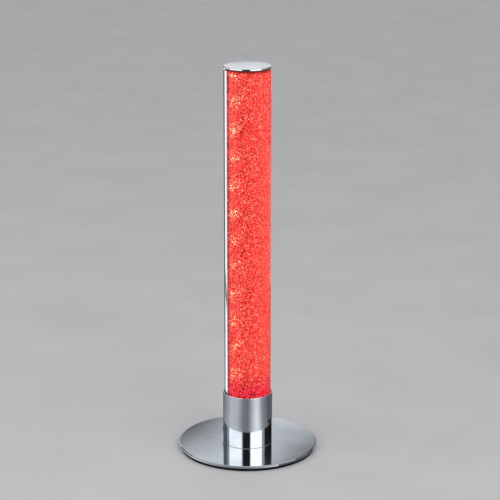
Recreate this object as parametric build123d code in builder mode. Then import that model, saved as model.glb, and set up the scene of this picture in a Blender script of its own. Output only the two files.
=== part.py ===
from build123d import *
import os
from math import cos, degrees, radians, sin, sqrt

# A column lamp: a lit glitter column with a polished metal back stands in a polished collar on a
# round plate. Sizes are in millimetres and degrees. The origin is the centre of the resting face,
# +Z is up, the push button faces -Y and the metal back of the column faces +Y.

# Foot and plate
pad_thickness = 3.0
pad_inset = 1.5
plate_diameter = 150.0
plate_thickness = 3.0
plate_bevel = 0.8
plate_under_edge = 0.4

# Collar: a deep-drawn cup that the column stands in
collar_wall = 1.2
collar_height = 58.0
collar_rim_round = 0.4
collar_foot_round = 0.5
column_gap = 0.6
column_seat_depth = 14.0

# Column
column_diameter = 50.0
column_length = 368.0
profile_half_angle = 57.5
profile_wall = 1.6
profile_edge_angle = 8.0
lip_angle = 5.5
lip_thickness = 1.1
lip_clearance = 0.25
web_depth = 6.4
web_thickness = 1.4
port_spacing = 22.0
port_wall = 1.15
port_root = 0.3
seam_gap = 0.5
seam_round = 0.4
diffuser_wall = 2.0
film_thickness = 0.6
film_gap = 0.15

# LED strip
strip_width = 10.0
strip_thickness = 1.2
strip_end_gap = 2.0
tape_thickness = 0.4
led_size = 5.0
led_height = 1.6
led_corner = 0.4
led_lens_diameter = 4.0
led_lens_depth = 0.25
led_pitch = 30.2
led_lowest = 31.0
led_top_margin = 4.0
resistor_width = 3.2
resistor_length = 1.6
resistor_height = 0.6

# Top of the column
shadow_gap = 2.2
shadow_recess = 1.5
plug_head_floor = 1.2
cap_height = 1.8
cap_top_wall = 0.8
cap_skirt_wall = 2.2
cap_crown = 0.3
cap_round = 0.5
cap_clearance = 0.1
spigot_gap = 0.2
top_plug_depth = 1.2

# Socket in the collar
socket_clearance = 0.2
socket_disc = 4.0
socket_plug_height = 10.0
plug_clearance = 0.3
plug_wall = 2.2
post_diameter = 9.0
post_angle = 20.0
post_margin = 3.8
post_pad = 0.6

# Fasteners
hole_clearance = 0.2
thread_clearance = 0.05
seat_clearance = 0.1
tip_room = 1.0
base_screw_diameter = 4.0
base_screw_head = 8.0
base_screw_length = 12.0
base_screw_key = 2.5
base_screw_key_depth = 1.4
insert_wall = 0.8
insert_length = 8.0
tap_diameter = 2.2
tap_length = 10.0
tap_head = 4.0
tap_head_height = 1.6
tap_head_round = 0.5
tap_recess = 2.2
tap_recess_width = 0.6
tap_recess_depth = 0.9
board_screw_length = 6.5
head_room = 0.4

# Button and switch
button_below_rim = 31.0
button_diameter = 4.0
button_edge = 0.4
button_proud = 1.2
button_travel = 1.0
button_flange_diameter = 6.0
button_flange_thickness = 1.2
button_stop_gap = 0.1
button_stem_diameter = 3.0
running_clearance = 0.05
bush_wall = 0.5
bush_proud = 0.4
bush_flange_diameter = 8.0
bush_flange_thickness = 1.2
wall_clearance = 0.1
switch_size = 6.0
switch_floor = 1.0
plunger_diameter = 3.5
plunger_guided = 1.5
plunger_reserve = 0.5

# Control board
board_thickness = 1.6
board_floor_gap = 3.0
board_top_gap = 2.0
board_overhang = 3.0
board_screw_drop = 4.0
chip_length = 5.0
chip_width = 4.0
chip_height = 1.5
capacitor_diameter = 6.3
capacitor_height = 7.0
capacitor_foot = 1.0
inductor_size = 7.0
inductor_height = 4.0
inductor_corner = 1.2
connector_width = 10.0
connector_height = 6.0
connector_depth = 5.0
connector_drop = 7.0
terminal_size = 8.0
terminal_entry = 2.4
terminal_entry_depth = 5.0

# LED leads
lead_diameter = 1.0
lead_pitch = 1.8
lead_count = 4
lead_bend = 8.0
lead_overlap = 6.0
lead_solder_gap = 0.05
lead_slot_clearance = 0.6

# Cord gland
cord_diameter = 4.0
cord_clearance = 0.2
grommet_wall = 1.8
grommet_flange = 1.3
grommet_flange_thickness = 1.5
grommet_floor_gap = 2.5

# Heights
pad_top = pad_thickness
plate_top = pad_top + plate_thickness
collar_floor = plate_top + collar_wall
collar_top = plate_top + collar_height
column_bottom = collar_top - column_seat_depth
column_top = column_bottom + column_length
socket_underside = column_bottom - socket_disc
flange_top = column_top + shadow_gap
cap_top = flange_top + cap_height
plug_head_seat = column_top + plug_head_floor
insert_top = collar_floor + insert_length
button_z = collar_top - button_below_rim

# Radii of the column and the collar
plate_radius = plate_diameter / 2
column_radius = column_diameter / 2
collar_bore = column_radius + column_gap
collar_radius = collar_bore + collar_wall
film_outer = column_radius - diffuser_wall - film_gap
film_inner = film_outer - film_thickness
lip_outer = film_inner - lip_clearance
lip_inner = lip_outer - lip_thickness
seam_angle = degrees(seam_gap / column_radius)
front_half_angle = 180 - profile_half_angle - seam_angle
tap_bore = tap_diameter / 2 + thread_clearance
tap_clear = tap_diameter / 2 + hole_clearance
port_radius = tap_bore + port_wall

# Depths behind the axis, where the profile carries the LED strip
web_front = column_radius - web_depth
tape_front = web_front - tape_thickness
strip_front = tape_front - strip_thickness
port_x = port_spacing / 2
port_y = web_front - port_radius + port_root
port_places = [(-port_x, port_y), (port_x, port_y)]
strip_bottom = column_bottom + strip_end_gap
strip_length = column_length - 2 * strip_end_gap
led_span = column_length - led_lowest - led_top_margin
led_count = int(led_span / led_pitch) + 1
led_middle = column_bottom + led_lowest + led_pitch * (led_count - 1) / 2

# Socket, plugs and posts
socket_radius = collar_bore - socket_clearance
plug_radius = lip_inner - plug_clearance
plug_flat = port_y - port_radius - plug_clearance
post_radius = post_diameter / 2
post_circle = socket_radius - post_radius - post_margin
post_x = post_circle * cos(radians(post_angle))
post_y = post_circle * sin(radians(post_angle))
post_places = [(x, y) for x in (-post_x, post_x) for y in (-post_y, post_y)]
insert_bore = base_screw_diameter / 2 + thread_clearance
insert_radius = insert_bore + insert_wall
cap_bore = column_radius - cap_skirt_wall
spigot_height = cap_height - cap_top_wall - spigot_gap

# Control board, from its back face on the posts to the button in front
board_back = -(post_y + post_radius + post_pad)
board_front = board_back - board_thickness
board_bottom = collar_floor + board_floor_gap
board_top = socket_underside - board_top_gap
board_width = 2 * (post_x + board_overhang)
upper_screw_z = board_top - board_screw_drop
lower_screw_z = insert_top + board_screw_drop
board_screw_places = [(x, z) for x in (-post_x, post_x) for z in (lower_screw_z, upper_screw_z)]
part_x = (switch_size / 2 + post_x - tap_head / 2) / 2
connector_z = board_top - connector_drop
switch_depth = plunger_guided + button_travel + switch_floor
switch_front = board_front - switch_depth
plunger_front = switch_front - button_travel - plunger_reserve

# Button and its bush
button_radius = button_diameter / 2
bush_bore = button_radius + running_clearance
bush_radius = bush_bore + bush_wall
bush_flange_radius = bush_flange_diameter / 2
bush_back = bush_flange_thickness - sqrt(collar_bore**2 - bush_flange_radius**2)
bush_front = -(collar_radius + bush_proud)
button_front = -(collar_radius + button_proud)
button_flange_front = bush_back + button_stop_gap
button_flange_back = button_flange_front + button_flange_thickness

# Cord gland
cord_bore = cord_diameter / 2 + cord_clearance
grommet_radius = cord_bore + grommet_wall
grommet_flange_radius = grommet_radius + grommet_flange
grommet_z = collar_floor + grommet_floor_gap + grommet_flange_radius
grommet_front = sqrt(collar_bore**2 - grommet_flange_radius**2) - grommet_flange_thickness
grommet_back = collar_radius + grommet_flange_thickness

# LED leads
lead_radius = lead_diameter / 2
lead_start = board_back + connector_depth
lead_y = strip_front - lead_radius - lead_solder_gap
lead_top = strip_bottom + lead_overlap
lead_slot_width = lead_pitch * (lead_count - 1) + lead_diameter + 2 * lead_slot_clearance


def facing_front(y, z=0):
    """A plane that faces -Y, with its own y axis along +Z."""
    return Plane((0, y, z), x_dir=(1, 0, 0), z_dir=(0, -1, 0))


def facing_back(y, z=0):
    """A plane that faces +Y, with its own y axis along +Z."""
    return Plane((0, y, z), x_dir=(-1, 0, 0), z_dir=(0, 1, 0))


def ring_sector(inner_radius, outer_radius, middle, half_angle):
    """A piece of a ring round the column's axis, centred on the angle called middle."""
    with BuildSketch() as sector:
        with BuildLine():
            outer = CenterArc((0, 0), outer_radius, middle - half_angle, 2 * half_angle)
            inner = CenterArc((0, 0), inner_radius, middle - half_angle, 2 * half_angle)
            Line(outer @ 0, inner @ 0)
            Line(outer @ 1, inner @ 1)
        make_face()
    return sector.sketch


def plug_outline(radius, flat):
    """A disc with its back cut off flat, where the LED strip and the screw ports run."""
    with BuildSketch() as outline:
        Circle(radius)
        with Locations((0, flat)):
            Rectangle(2 * radius, radius, align=(Align.CENTER, Align.MIN), mode=Mode.SUBTRACT)
    return outline.sketch


def at_radius(vertices, radius):
    """The vertices that lie on a circle round the axis."""
    return vertices.filter_by(lambda v: abs(sqrt(v.X**2 + v.Y**2) - radius) < 0.01)


# Foot pad: a soft disc glued under the plate, over the heads of the base screws
with BuildPart() as foot_pad:
    with BuildSketch():
        Circle(plate_radius - pad_inset)
    extrude(amount=pad_thickness)
foot_pad.part.label = "foot_pad"

# Base plate: bevelled round plate, countersunk from below
with BuildPart() as base_plate:
    with BuildSketch(Plane.XY.offset(pad_top)):
        Circle(plate_radius)
    extrude(amount=plate_thickness)
    chamfer(base_plate.edges().group_by(Axis.Z)[-1], length=plate_bevel)
    chamfer(base_plate.edges().group_by(Axis.Z)[0], length=plate_under_edge)
    with Locations(base_plate.faces().sort_by(Axis.Z)[0]):
        with Locations(*post_places):
            CounterSinkHole(
                radius=base_screw_diameter / 2 + hole_clearance,
                counter_sink_radius=base_screw_head / 2 + seat_clearance,
                counter_sink_angle=90,
            )
base_plate.part.label = "base_plate"

# Collar: a cup with a round rim, a button hole in front and a gland hole at the back
with BuildPart() as base_collar:
    with BuildSketch(Plane.XY.offset(plate_top)):
        Circle(collar_radius)
    extrude(amount=collar_height)
    fillet(base_collar.edges().group_by(Axis.Z)[0], radius=collar_foot_round)
    with BuildSketch(Plane.XY.offset(collar_floor)):
        Circle(collar_bore)
    extrude(amount=collar_height - collar_wall, mode=Mode.SUBTRACT)
    fillet(base_collar.edges().group_by(Axis.Z)[-1], radius=collar_rim_round)
    with BuildSketch(Plane.XY.offset(plate_top)):
        with Locations(*post_places):
            Circle(base_screw_diameter / 2 + hole_clearance)
    extrude(amount=collar_wall, mode=Mode.SUBTRACT)
    with BuildSketch(facing_front(0, button_z)):
        Circle(bush_radius + wall_clearance)
    extrude(amount=collar_radius, mode=Mode.SUBTRACT)
    with BuildSketch(facing_back(0, grommet_z)):
        Circle(grommet_radius + wall_clearance)
    extrude(amount=collar_radius, mode=Mode.SUBTRACT)
base_collar.part.label = "base_collar"

# Column socket: a disc that carries the column, on four posts, with a plug that centres it
with BuildPart() as column_socket:
    with BuildSketch(Plane.XY.offset(socket_underside)):
        Circle(socket_radius)
    extrude(amount=socket_disc)
    with BuildSketch(Plane.XY.offset(column_bottom)):
        add(plug_outline(plug_radius, plug_flat))
        add(plug_outline(plug_radius - plug_wall, plug_flat - plug_wall), mode=Mode.SUBTRACT)
    extrude(amount=socket_plug_height)
    with BuildSketch(Plane.XY.offset(collar_floor)):
        with Locations(*post_places):
            Circle(post_radius)
        with Locations((-post_x, -post_y), (post_x, -post_y)):
            Rectangle(post_diameter, post_radius + post_pad, align=(Align.CENTER, Align.MAX))
    extrude(amount=socket_underside - collar_floor)
    with BuildSketch(Plane.XY.offset(collar_floor)):
        with Locations(*post_places):
            Circle(insert_radius + thread_clearance)
    extrude(amount=insert_length + tip_room, mode=Mode.SUBTRACT)
    with BuildSketch(facing_front(board_back)):
        with Locations(*board_screw_places):
            Circle(tap_bore)
    extrude(amount=board_thickness - board_screw_length - tip_room, mode=Mode.SUBTRACT)
    with BuildSketch(Plane.XY.offset(socket_underside)):
        with Locations(*port_places):
            Circle(tap_clear)
        with Locations((0, lead_y)):
            Rectangle(lead_slot_width, lead_diameter + 2 * lead_slot_clearance)
    extrude(amount=socket_disc, mode=Mode.SUBTRACT)
column_socket.part.label = "column_socket"

# Thread inserts: one in the foot of each post
with BuildPart() as thread_inserts:
    with BuildSketch(Plane.XY.offset(collar_floor)):
        with Locations(*post_places):
            Circle(insert_radius)
            Circle(insert_bore, mode=Mode.SUBTRACT)
    extrude(amount=insert_length)
thread_inserts.part.label = "thread_inserts"

# One countersunk screw, its head at the origin and its thread pointing up
with BuildPart() as countersunk_screw:
    with BuildSketch(Plane.XZ):
        with BuildLine():
            head_depth = (base_screw_head - base_screw_diameter) / 2
            Polyline(
                (0, 0),
                (base_screw_head / 2, 0),
                (base_screw_diameter / 2, head_depth),
                (base_screw_diameter / 2, base_screw_length),
                (0, base_screw_length),
                close=True,
            )
        make_face()
    revolve(axis=Axis.Z)
    with BuildSketch():
        RegularPolygon(base_screw_key / 2, 6, major_radius=False)
    extrude(amount=base_screw_key_depth, mode=Mode.SUBTRACT)

# Base screws: from under the plate into the inserts
with BuildPart() as base_screws:
    with Locations(*[(x, y, pad_top) for x, y in post_places]):
        add(countersunk_screw.part)
base_screws.part.label = "base_screws"


def pan_head_screw(length):
    """A self-tapping screw, its head above the origin and its thread pointing down."""
    with BuildPart() as screw:
        with BuildSketch():
            Circle(tap_head / 2)
        extrude(amount=tap_head_height)
        fillet(screw.edges().group_by(Axis.Z)[-1], radius=tap_head_round)
        with BuildSketch():
            Circle(tap_diameter / 2)
        extrude(amount=-length)
        with BuildSketch(Plane.XY.offset(tap_head_height)):
            Rectangle(tap_recess, tap_recess_width)
            Rectangle(tap_recess_width, tap_recess)
        extrude(amount=-tap_recess_depth, mode=Mode.SUBTRACT)
    return screw.part


column_screw = pan_head_screw(tap_length)
board_screw = pan_head_screw(board_screw_length)

# Socket screws: up through the socket's disc into the profile's ports
with BuildPart() as socket_screws:
    with Locations(*[Plane((x, y, socket_underside), z_dir=(0, 0, -1)) for x, y in port_places]):
        add(column_screw)
socket_screws.part.label = "socket_screws"

# Plug screws: down through the top plug into the same ports
with BuildPart() as plug_screws:
    with Locations(*[(x, y, plug_head_seat) for x, y in port_places]):
        add(column_screw)
plug_screws.part.label = "plug_screws"

# Back profile: polished skin with a web for the LED strip, screw ports and lips for the diffuser
with BuildSketch() as web_section:
    with Locations((0, web_front)):
        Rectangle(column_diameter, web_thickness, align=(Align.CENTER, Align.MIN))
    Circle(column_radius - profile_wall / 2, mode=Mode.INTERSECT)

with BuildPart() as back_profile:
    with BuildSketch(Plane.XY.offset(column_bottom)) as profile_section:
        add(ring_sector(column_radius - profile_wall, column_radius, 90, profile_half_angle))
        for side in (-1, 1):
            edge_middle = 90 + side * (profile_half_angle - profile_edge_angle / 2)
            add(ring_sector(lip_inner, column_radius, edge_middle, profile_edge_angle / 2))
            lip_half_angle = (profile_edge_angle + lip_angle) / 2
            lip_middle = 90 + side * (profile_half_angle - profile_edge_angle + lip_half_angle)
            add(ring_sector(lip_inner, lip_outer, lip_middle, lip_half_angle))
        add(web_section.sketch)
        with Locations(*port_places):
            Circle(port_radius)
        with Locations(*port_places):
            Circle(tap_bore, mode=Mode.SUBTRACT)
        fillet(at_radius(profile_section.vertices(), column_radius), radius=seam_round)
    extrude(amount=column_length)
back_profile.part.label = "back_profile"

# Diffuser tube: clear C-section that snaps over the profile's lips
with BuildPart() as diffuser_tube:
    with BuildSketch(Plane.XY.offset(column_bottom)) as diffuser_section:
        add(ring_sector(column_radius - diffuser_wall, column_radius, -90, front_half_angle))
        fillet(at_radius(diffuser_section.vertices(), column_radius), radius=seam_round)
    extrude(amount=column_length)
diffuser_tube.part.label = "diffuser_tube"

# Glitter film: lines the inside of the diffuser
with BuildPart() as glitter_film:
    with BuildSketch(Plane.XY.offset(column_bottom)):
        add(ring_sector(film_inner, film_outer, -90, front_half_angle))
    extrude(amount=column_length)
glitter_film.part.label = "glitter_film"

# LED tape: holds the strip on the web and carries its heat
with BuildPart() as led_tape:
    with BuildSketch(Plane.XY.offset(strip_bottom)):
        with Locations((0, tape_front)):
            Rectangle(strip_width, tape_thickness, align=(Align.CENTER, Align.MIN))
    extrude(amount=strip_length)
led_tape.part.label = "led_tape"

# LED board: the strip itself
with BuildPart() as led_board:
    with BuildSketch(Plane.XY.offset(strip_bottom)):
        with Locations((0, strip_front)):
            Rectangle(strip_width, strip_thickness, align=(Align.CENTER, Align.MIN))
    extrude(amount=strip_length)
led_board.part.label = "led_board"

# LED chips: square packages in a row, each with a round lens recess
with BuildPart() as led_chips:
    with BuildSketch(facing_front(strip_front, led_middle)):
        with GridLocations(led_pitch, led_pitch, 1, led_count):
            RectangleRounded(led_size, led_size, led_corner)
    extrude(amount=led_height)
    with BuildSketch(facing_front(strip_front - led_height, led_middle)):
        with GridLocations(led_pitch, led_pitch, 1, led_count):
            Circle(led_lens_diameter / 2)
    extrude(amount=-led_lens_depth, mode=Mode.SUBTRACT)
led_chips.part.label = "led_chips"

# LED resistors: one half a pitch below each LED
with BuildPart() as led_resistors:
    with BuildSketch(facing_front(strip_front, led_middle - led_pitch / 2)):
        with GridLocations(led_pitch, led_pitch, 1, led_count):
            Rectangle(resistor_width, resistor_length)
    extrude(amount=resistor_height)
led_resistors.part.label = "led_resistors"

# Top plug: dark flange between column and cap, a plug below it and a spigot for the cap above
with BuildPart() as top_plug:
    with BuildSketch(Plane.XY.offset(column_top - top_plug_depth)):
        add(plug_outline(plug_radius, plug_flat))
        add(plug_outline(plug_radius - plug_wall, plug_flat - plug_wall), mode=Mode.SUBTRACT)
    extrude(amount=top_plug_depth)
    with BuildSketch(Plane.XY.offset(column_top)):
        Circle(column_radius - shadow_recess)
    extrude(amount=shadow_gap)
    with BuildSketch(Plane.XY.offset(flange_top)):
        Circle(cap_bore - cap_clearance)
    extrude(amount=spigot_height)
    with BuildSketch(Plane.XY.offset(plug_head_seat)):
        with Locations(*port_places):
            Circle(tap_head / 2 + head_room)
    extrude(amount=flange_top + spigot_height - plug_head_seat, mode=Mode.SUBTRACT)
    with BuildSketch(Plane.XY.offset(column_top)):
        with Locations(*port_places):
            Circle(tap_clear)
    extrude(amount=plug_head_floor, mode=Mode.SUBTRACT)
top_plug.part.label = "top_plug"

# Top cap: shallow polished cup with a slightly crowned top, which hides the plug and its screws
with BuildPart() as top_cap:
    with BuildSketch(Plane.XZ):
        with BuildLine():
            crown = TangentArc((0, cap_top), (column_radius, cap_top - cap_crown), tangent=(1, 0))
            Polyline(crown @ 1, (column_radius, flange_top), (0, flange_top), crown @ 0)
        make_face()
    revolve(axis=Axis.Z)
    rims = top_cap.edges().filter_by(GeomType.CIRCLE).group_by(SortBy.RADIUS)[0]
    fillet(rims.sort_by(Axis.Z)[-1], radius=cap_round)
    with BuildSketch(Plane.XY.offset(flange_top)):
        Circle(cap_bore)
    extrude(amount=cap_height - cap_top_wall, mode=Mode.SUBTRACT)
top_cap.part.label = "top_cap"

# Control board: stands on the flats of the two front posts
with BuildPart() as control_board:
    with BuildSketch(facing_front(board_back)):
        with Locations((0, (board_bottom + board_top) / 2)):
            Rectangle(board_width, board_top - board_bottom)
        with Locations(*board_screw_places):
            Circle(tap_clear, mode=Mode.SUBTRACT)
    extrude(amount=board_thickness)
control_board.part.label = "control_board"

# Board screws
with BuildPart() as board_screws:
    with Locations(*[Plane((x, board_front, z), z_dir=(0, -1, 0)) for x, z in board_screw_places]):
        add(board_screw)
board_screws.part.label = "board_screws"

# Control chip: upper corner of the board's front
with BuildPart() as control_chip:
    with BuildSketch(facing_front(board_front, upper_screw_z)):
        with Locations((-part_x, 0)):
            Rectangle(chip_length, chip_width)
    extrude(amount=chip_height)
control_chip.part.label = "control_chip"

# Smoothing capacitor: a can on a square foot, lower corner of the board's front
with BuildPart() as smoothing_capacitor:
    with BuildSketch(facing_front(board_front, lower_screw_z)):
        with Locations((part_x, 0)):
            Rectangle(capacitor_diameter, capacitor_diameter)
    extrude(amount=capacitor_foot)
    with BuildSketch(facing_front(board_front, lower_screw_z)):
        with Locations((part_x, 0)):
            Circle(capacitor_diameter / 2)
    extrude(amount=capacitor_height)
smoothing_capacitor.part.label = "smoothing_capacitor"

# Power inductor: beside the capacitor
with BuildPart() as power_inductor:
    with BuildSketch(facing_front(board_front, lower_screw_z)):
        with Locations((-part_x, 0)):
            RectangleRounded(inductor_size, inductor_size, inductor_corner)
    extrude(amount=inductor_height)
power_inductor.part.label = "power_inductor"

# Lead connector: on the board's back, where the LED leads start
with BuildPart() as lead_connector:
    with BuildSketch(facing_back(board_back, connector_z)):
        Rectangle(connector_width, connector_height)
    extrude(amount=connector_depth)
lead_connector.part.label = "lead_connector"

# Supply terminal: on the board's back, opposite the cord gland, with two wire entries
with BuildPart() as supply_terminal:
    with BuildSketch(facing_back(board_back, grommet_z)):
        Rectangle(terminal_size, terminal_size)
    extrude(amount=terminal_size)
    with BuildSketch(facing_back(board_back + terminal_size, grommet_z)):
        with GridLocations(terminal_size / 2, terminal_size, 2, 1):
            Circle(terminal_entry / 2)
    extrude(amount=-terminal_entry_depth, mode=Mode.SUBTRACT)
supply_terminal.part.label = "supply_terminal"

# One LED lead: out of the connector, back under the socket and up to the foot of the strip
with BuildPart() as one_lead:
    with BuildLine() as lead_path:
        FilletPolyline(
            (0, lead_start, connector_z),
            (0, lead_y, connector_z),
            (0, lead_y, lead_top),
            radius=lead_bend,
        )
    with BuildSketch(facing_back(lead_start, connector_z)):
        Circle(lead_radius)
    sweep(path=lead_path.line)

# LED leads: four side by side
with BuildPart() as led_leads:
    with GridLocations(lead_pitch, lead_pitch, lead_count, 1):
        add(one_lead.part)
led_leads.part.label = "led_leads"

# Switch body: a square housing with a blind bore for its plunger
with BuildPart() as switch_body:
    with BuildSketch(facing_front(board_front, button_z)):
        Rectangle(switch_size, switch_size)
    extrude(amount=switch_depth)
    with BuildSketch(facing_front(switch_front, button_z)):
        Circle(plunger_diameter / 2 + running_clearance)
    extrude(amount=switch_floor - switch_depth, mode=Mode.SUBTRACT)
switch_body.part.label = "switch_body"

# Switch plunger: moves with the button, and stops just short of the floor of its bore
with BuildPart() as switch_plunger:
    with BuildSketch(facing_front(plunger_front, button_z)):
        Circle(plunger_diameter / 2)
    extrude(amount=plunger_front - switch_front - plunger_guided + button_stop_gap)
switch_plunger.part.label = "switch_plunger"

# Push button: a round cap on a stem, with a flange that keeps it behind the bush
with BuildPart() as push_button:
    with BuildSketch(facing_front(plunger_front, button_z)):
        Circle(button_stem_diameter / 2)
    extrude(amount=plunger_front - button_flange_back)
    with BuildSketch(facing_front(button_flange_back, button_z)):
        Circle(button_flange_diameter / 2)
    extrude(amount=button_flange_thickness)
    with BuildSketch(facing_front(button_flange_front, button_z)):
        Circle(button_radius)
    extrude(amount=button_flange_front - button_front)
    fillet(push_button.edges().group_by(Axis.Y)[0], radius=button_edge)
push_button.part.label = "push_button"

# Button bush: a ring in the collar's wall, with a flange that fits the wall from inside
with BuildPart() as button_bush:
    with BuildSketch(facing_front(bush_back, button_z)):
        Circle(bush_flange_radius)
    extrude(amount=bush_back - bush_front)
    with Locations((0, 0, button_z)):
        Cylinder(collar_bore - wall_clearance, bush_flange_diameter, mode=Mode.INTERSECT)
    with BuildSketch(facing_front(bush_back, button_z)):
        Circle(bush_radius)
    extrude(amount=bush_back - bush_front)
    with BuildSketch(facing_front(bush_back, button_z)):
        Circle(bush_bore)
    extrude(amount=bush_back - bush_front, mode=Mode.SUBTRACT)
button_bush.part.label = "button_bush"

# Cord grommet: a soft gland with a flange on each side of the collar's wall
with BuildPart() as cord_grommet:
    with BuildSketch(facing_back(grommet_front, grommet_z)):
        Circle(grommet_flange_radius)
    extrude(amount=grommet_back - grommet_front)
    with BuildSketch(Plane.XY.offset(grommet_z)):
        Circle(collar_radius + wall_clearance)
        Circle(collar_bore - wall_clearance, mode=Mode.SUBTRACT)
    extrude(amount=grommet_flange_radius, both=True, mode=Mode.SUBTRACT)
    with BuildSketch(facing_back(grommet_front, grommet_z)):
        Circle(grommet_radius)
    extrude(amount=grommet_back - grommet_front)
    with BuildSketch(facing_back(grommet_front, grommet_z)):
        Circle(cord_bore)
    extrude(amount=grommet_back - grommet_front, mode=Mode.SUBTRACT)
cord_grommet.part.label = "cord_grommet"

pieces = [
    foot_pad,
    base_plate,
    base_collar,
    column_socket,
    thread_inserts,
    base_screws,
    socket_screws,
    plug_screws,
    back_profile,
    diffuser_tube,
    glitter_film,
    led_tape,
    led_board,
    led_chips,
    led_resistors,
    led_leads,
    top_plug,
    top_cap,
    control_board,
    board_screws,
    control_chip,
    smoothing_capacitor,
    power_inductor,
    lead_connector,
    supply_terminal,
    switch_body,
    switch_plunger,
    push_button,
    button_bush,
    cord_grommet,
]

os.makedirs("parts", exist_ok=True)
for piece in pieces:
    export_step(piece.part, f"parts/{piece.part.label}.step")
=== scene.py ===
import logging
import math
import random
from dataclasses import dataclass
from enum import Enum
from typing import Any

import bmesh
import bpy
from bpy.types import Material, Node, NodeSocket, NodeTree, Object
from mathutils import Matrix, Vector


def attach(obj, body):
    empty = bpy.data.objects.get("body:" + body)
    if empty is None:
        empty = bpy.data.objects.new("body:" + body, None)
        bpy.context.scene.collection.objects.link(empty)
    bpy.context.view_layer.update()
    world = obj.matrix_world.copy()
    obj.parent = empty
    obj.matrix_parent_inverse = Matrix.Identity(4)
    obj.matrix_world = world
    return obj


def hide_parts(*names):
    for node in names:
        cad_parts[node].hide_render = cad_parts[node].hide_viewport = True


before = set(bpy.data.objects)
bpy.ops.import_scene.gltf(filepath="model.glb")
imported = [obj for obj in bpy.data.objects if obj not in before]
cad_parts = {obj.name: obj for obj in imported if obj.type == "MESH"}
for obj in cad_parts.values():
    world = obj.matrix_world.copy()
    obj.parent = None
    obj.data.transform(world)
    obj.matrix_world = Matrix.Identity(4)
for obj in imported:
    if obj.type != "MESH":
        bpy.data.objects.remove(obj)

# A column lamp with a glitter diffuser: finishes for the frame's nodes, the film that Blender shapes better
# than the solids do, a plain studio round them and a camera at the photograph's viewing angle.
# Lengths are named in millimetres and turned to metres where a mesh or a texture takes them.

LOG = logging.getLogger("column_lamp")
MM = 0.001
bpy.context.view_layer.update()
LAMP = "lamp"
CAMERA_AZIMUTH = -62.0
LED_FIRST_MM = 81.0
LED_PITCH_MM = 30.2
# Values that a noise seldom leaves, and a mix of grain and cloud.
NOISE_SPAN = (0.35, 0.65)
GRAIN_SPAN = (0.3, 0.7)
# Agreement of the rounded and the true normal where an edge's wear starts and where it is full.
WEAR_SPAN = (0.97, 0.8)
# Roughness that wear adds to metal, and takes from plastic.
WEAR_ROUGHNESS = 0.08
# Fineness that is left along the axis of a drawn or extruded piece.
DRAWN_STRETCH = 0.02
# What the sockets of a node take, by their names or in their order.
Inputs = dict[str, Any] | tuple[Any, ...]


def linear(hex_code: str) -> tuple[float, float, float, float]:
    """Turn an sRGB hex colour into linear light.

    Args:
        hex_code: Colour such as "#C4C6C9".

    Returns:
        Red, green and blue in linear light, and an alpha of 1.
    """
    channels = [int(hex_code[i:i + 2], 16) / 255 for i in (1, 3, 5)]
    red, green, blue = (c / 12.92 if c <= 0.04045 else ((c + 0.055) / 1.055) ** 2.4 for c in channels)
    return red, green, blue, 1.0


def per_mm(size_mm: float) -> float:
    """Give the texture scale whose cells are size_mm wide in coordinates of metres."""
    return 1.0 / (size_mm * MM)


class Nodes:
    """The shader nodes of a material or of the world."""

    def __init__(self, tree: NodeTree, shader: str, output: str) -> None:
        """Start with a shader and the output that it goes to.

        Args:
            tree: Node tree, which is emptied.
            shader: Kind of the shader.
            output: Kind of the output.
        """
        self.tree = tree
        tree.nodes.clear()
        self.shader = self.add(shader)
        self.add(output, {"Surface": self.shader})

    def add(self, kind: str, inputs: Inputs = (), **settings: Any) -> Node:
        """Add a node, set it up and fill or link its inputs.

        Args:
            kind: Node type without its ShaderNode prefix.
            inputs: Inputs as fill takes them.
            settings: Properties of the node; stops gives a colour ramp's places and colours.

        Returns:
            The new node.
        """
        node = self.tree.nodes.new("ShaderNode" + kind)
        stops = settings.pop("stops", ())
        for name, value in settings.items():
            setattr(node, name, value)
        for place, (position, colour) in enumerate(stops):
            ramp = node.color_ramp.elements
            element = ramp[place] if place < len(ramp) else ramp.new(position)
            element.position = position
            element.color = linear(colour)
        self.fill(node, inputs)
        return node

    def fill(self, node: Node, inputs: Inputs) -> None:
        """Fill or link the inputs of a node.

        A socket takes a plain value, another socket, or a node, whose first output in use is then linked.

        Args:
            node: Node to fill.
            inputs: What the sockets take, by their names or in their order, which for a map range is its
                value, the two limits that it comes from and the two that it goes to.
        """
        pairs = inputs.items() if isinstance(inputs, dict) else enumerate(inputs)
        for key, value in pairs:
            if isinstance(value, Node):
                value = next(output for output in value.outputs if output.enabled)
            if isinstance(value, NodeSocket):
                self.tree.links.new(value, node.inputs[key])
            else:
                node.inputs[key].default_value = value

    def shade(self, inputs: Inputs) -> None:
        """Fill or link the inputs of the shader."""
        self.fill(self.shader, inputs)


def worn_edge(nodes: Nodes, width_mm: float) -> Node:
    """Find the edges of a solid, where handling wears it.

    Args:
        nodes: Nodes of the material.
        width_mm: Width of the worn band along an edge.

    Returns:
        A node that gives 1 on an edge and 0 away from it.
    """
    rounded = nodes.add("Bevel", {"Radius": width_mm * MM}, samples=4)
    sharp = nodes.add("NewGeometry").outputs["Normal"]
    agree = nodes.add("VectorMath", (rounded, sharp), operation="DOT_PRODUCT")
    return nodes.add("MapRange", (agree, *WEAR_SPAN))


@dataclass(frozen=True)
class Finish:
    """A surface: what it is made of and how it was made.

    Attributes:
        name: Name of the material.
    """

    name: str

    def paint(self, nodes: Nodes) -> None:
        """Fill the shader's sockets; each finish has its own way.

        Args:
            nodes: Nodes of the material.
        """
        raise NotImplementedError

    def material(self) -> Material:
        """Make the material on first use and give the same one after that.

        Returns:
            The finish's material.
        """
        made = bpy.data.materials.get(self.name)
        if made is None:
            made = bpy.data.materials.new(self.name)
            made.use_nodes = True
            self.paint(Nodes(made.node_tree, "BsdfPrincipled", "OutputMaterial"))
        return made


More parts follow.
